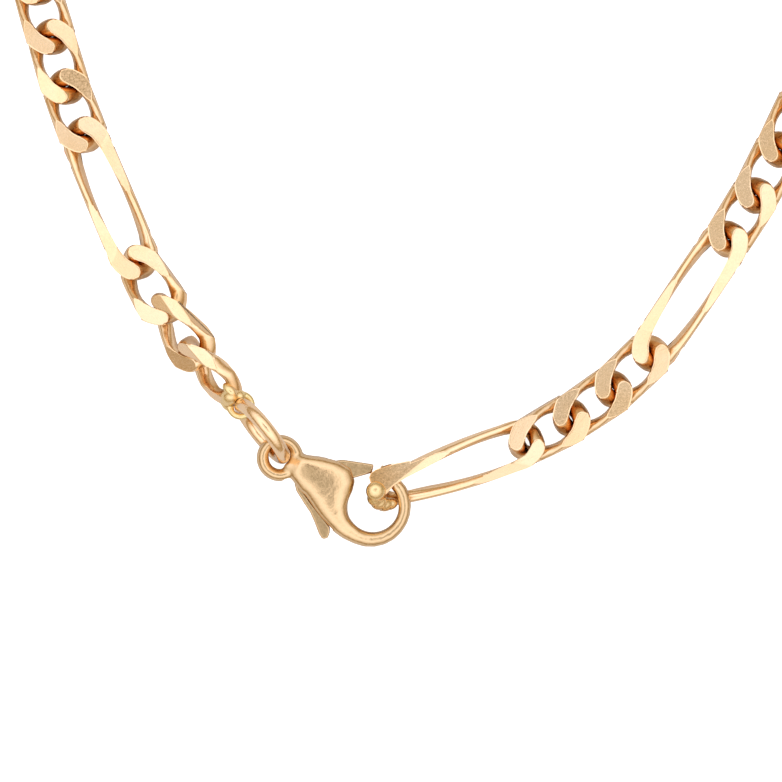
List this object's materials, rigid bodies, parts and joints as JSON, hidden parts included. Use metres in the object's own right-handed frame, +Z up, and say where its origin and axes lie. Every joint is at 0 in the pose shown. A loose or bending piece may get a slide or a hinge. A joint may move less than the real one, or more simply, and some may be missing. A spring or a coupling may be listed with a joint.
{
  "type": "figaro chain necklace",
  "caption": "Flat figaro curb chain necklace, lying closed: short and long filed links, a jump ring and a lobster clasp with a sprung lever hooked into a long link.",
  "frame": {"origin": "middle of the necklace's outline, on the surface it lies on", "axes": "+X across the necklace to the side of the hooked link, +Y from the clasp to the back of the neck, +Z up"},
  "size_m": [0.1134, 0.213, 0.0072],
  "materials": {
    "gold": "polished 18 ct yellow gold with filed flats",
    "clasp_gold": "polished 18 ct yellow gold, satin on the clasp's flank"
  },
  "bodies": {
    "necklace": {"chain_left": "gold", "chain_right": "gold", "end_link": "gold", "hooked_link": "gold", "jump_ring": "gold", "clasp_body": "clasp_gold"},
    "lever": {"clasp_lever": "clasp_gold"}
  },
  "joints": [
    {"name": "lever_hinge", "type": "hinge", "parent": "necklace", "child": "lever", "pos_m": [-0.01749, -0.09975, 0.0024], "axis": [-0.045, 0.0231, -0.9987], "range_deg": [0, 14], "stiffness_Nm_per_rad": 0.0002, "springref_deg": -20.05}
  ]
}
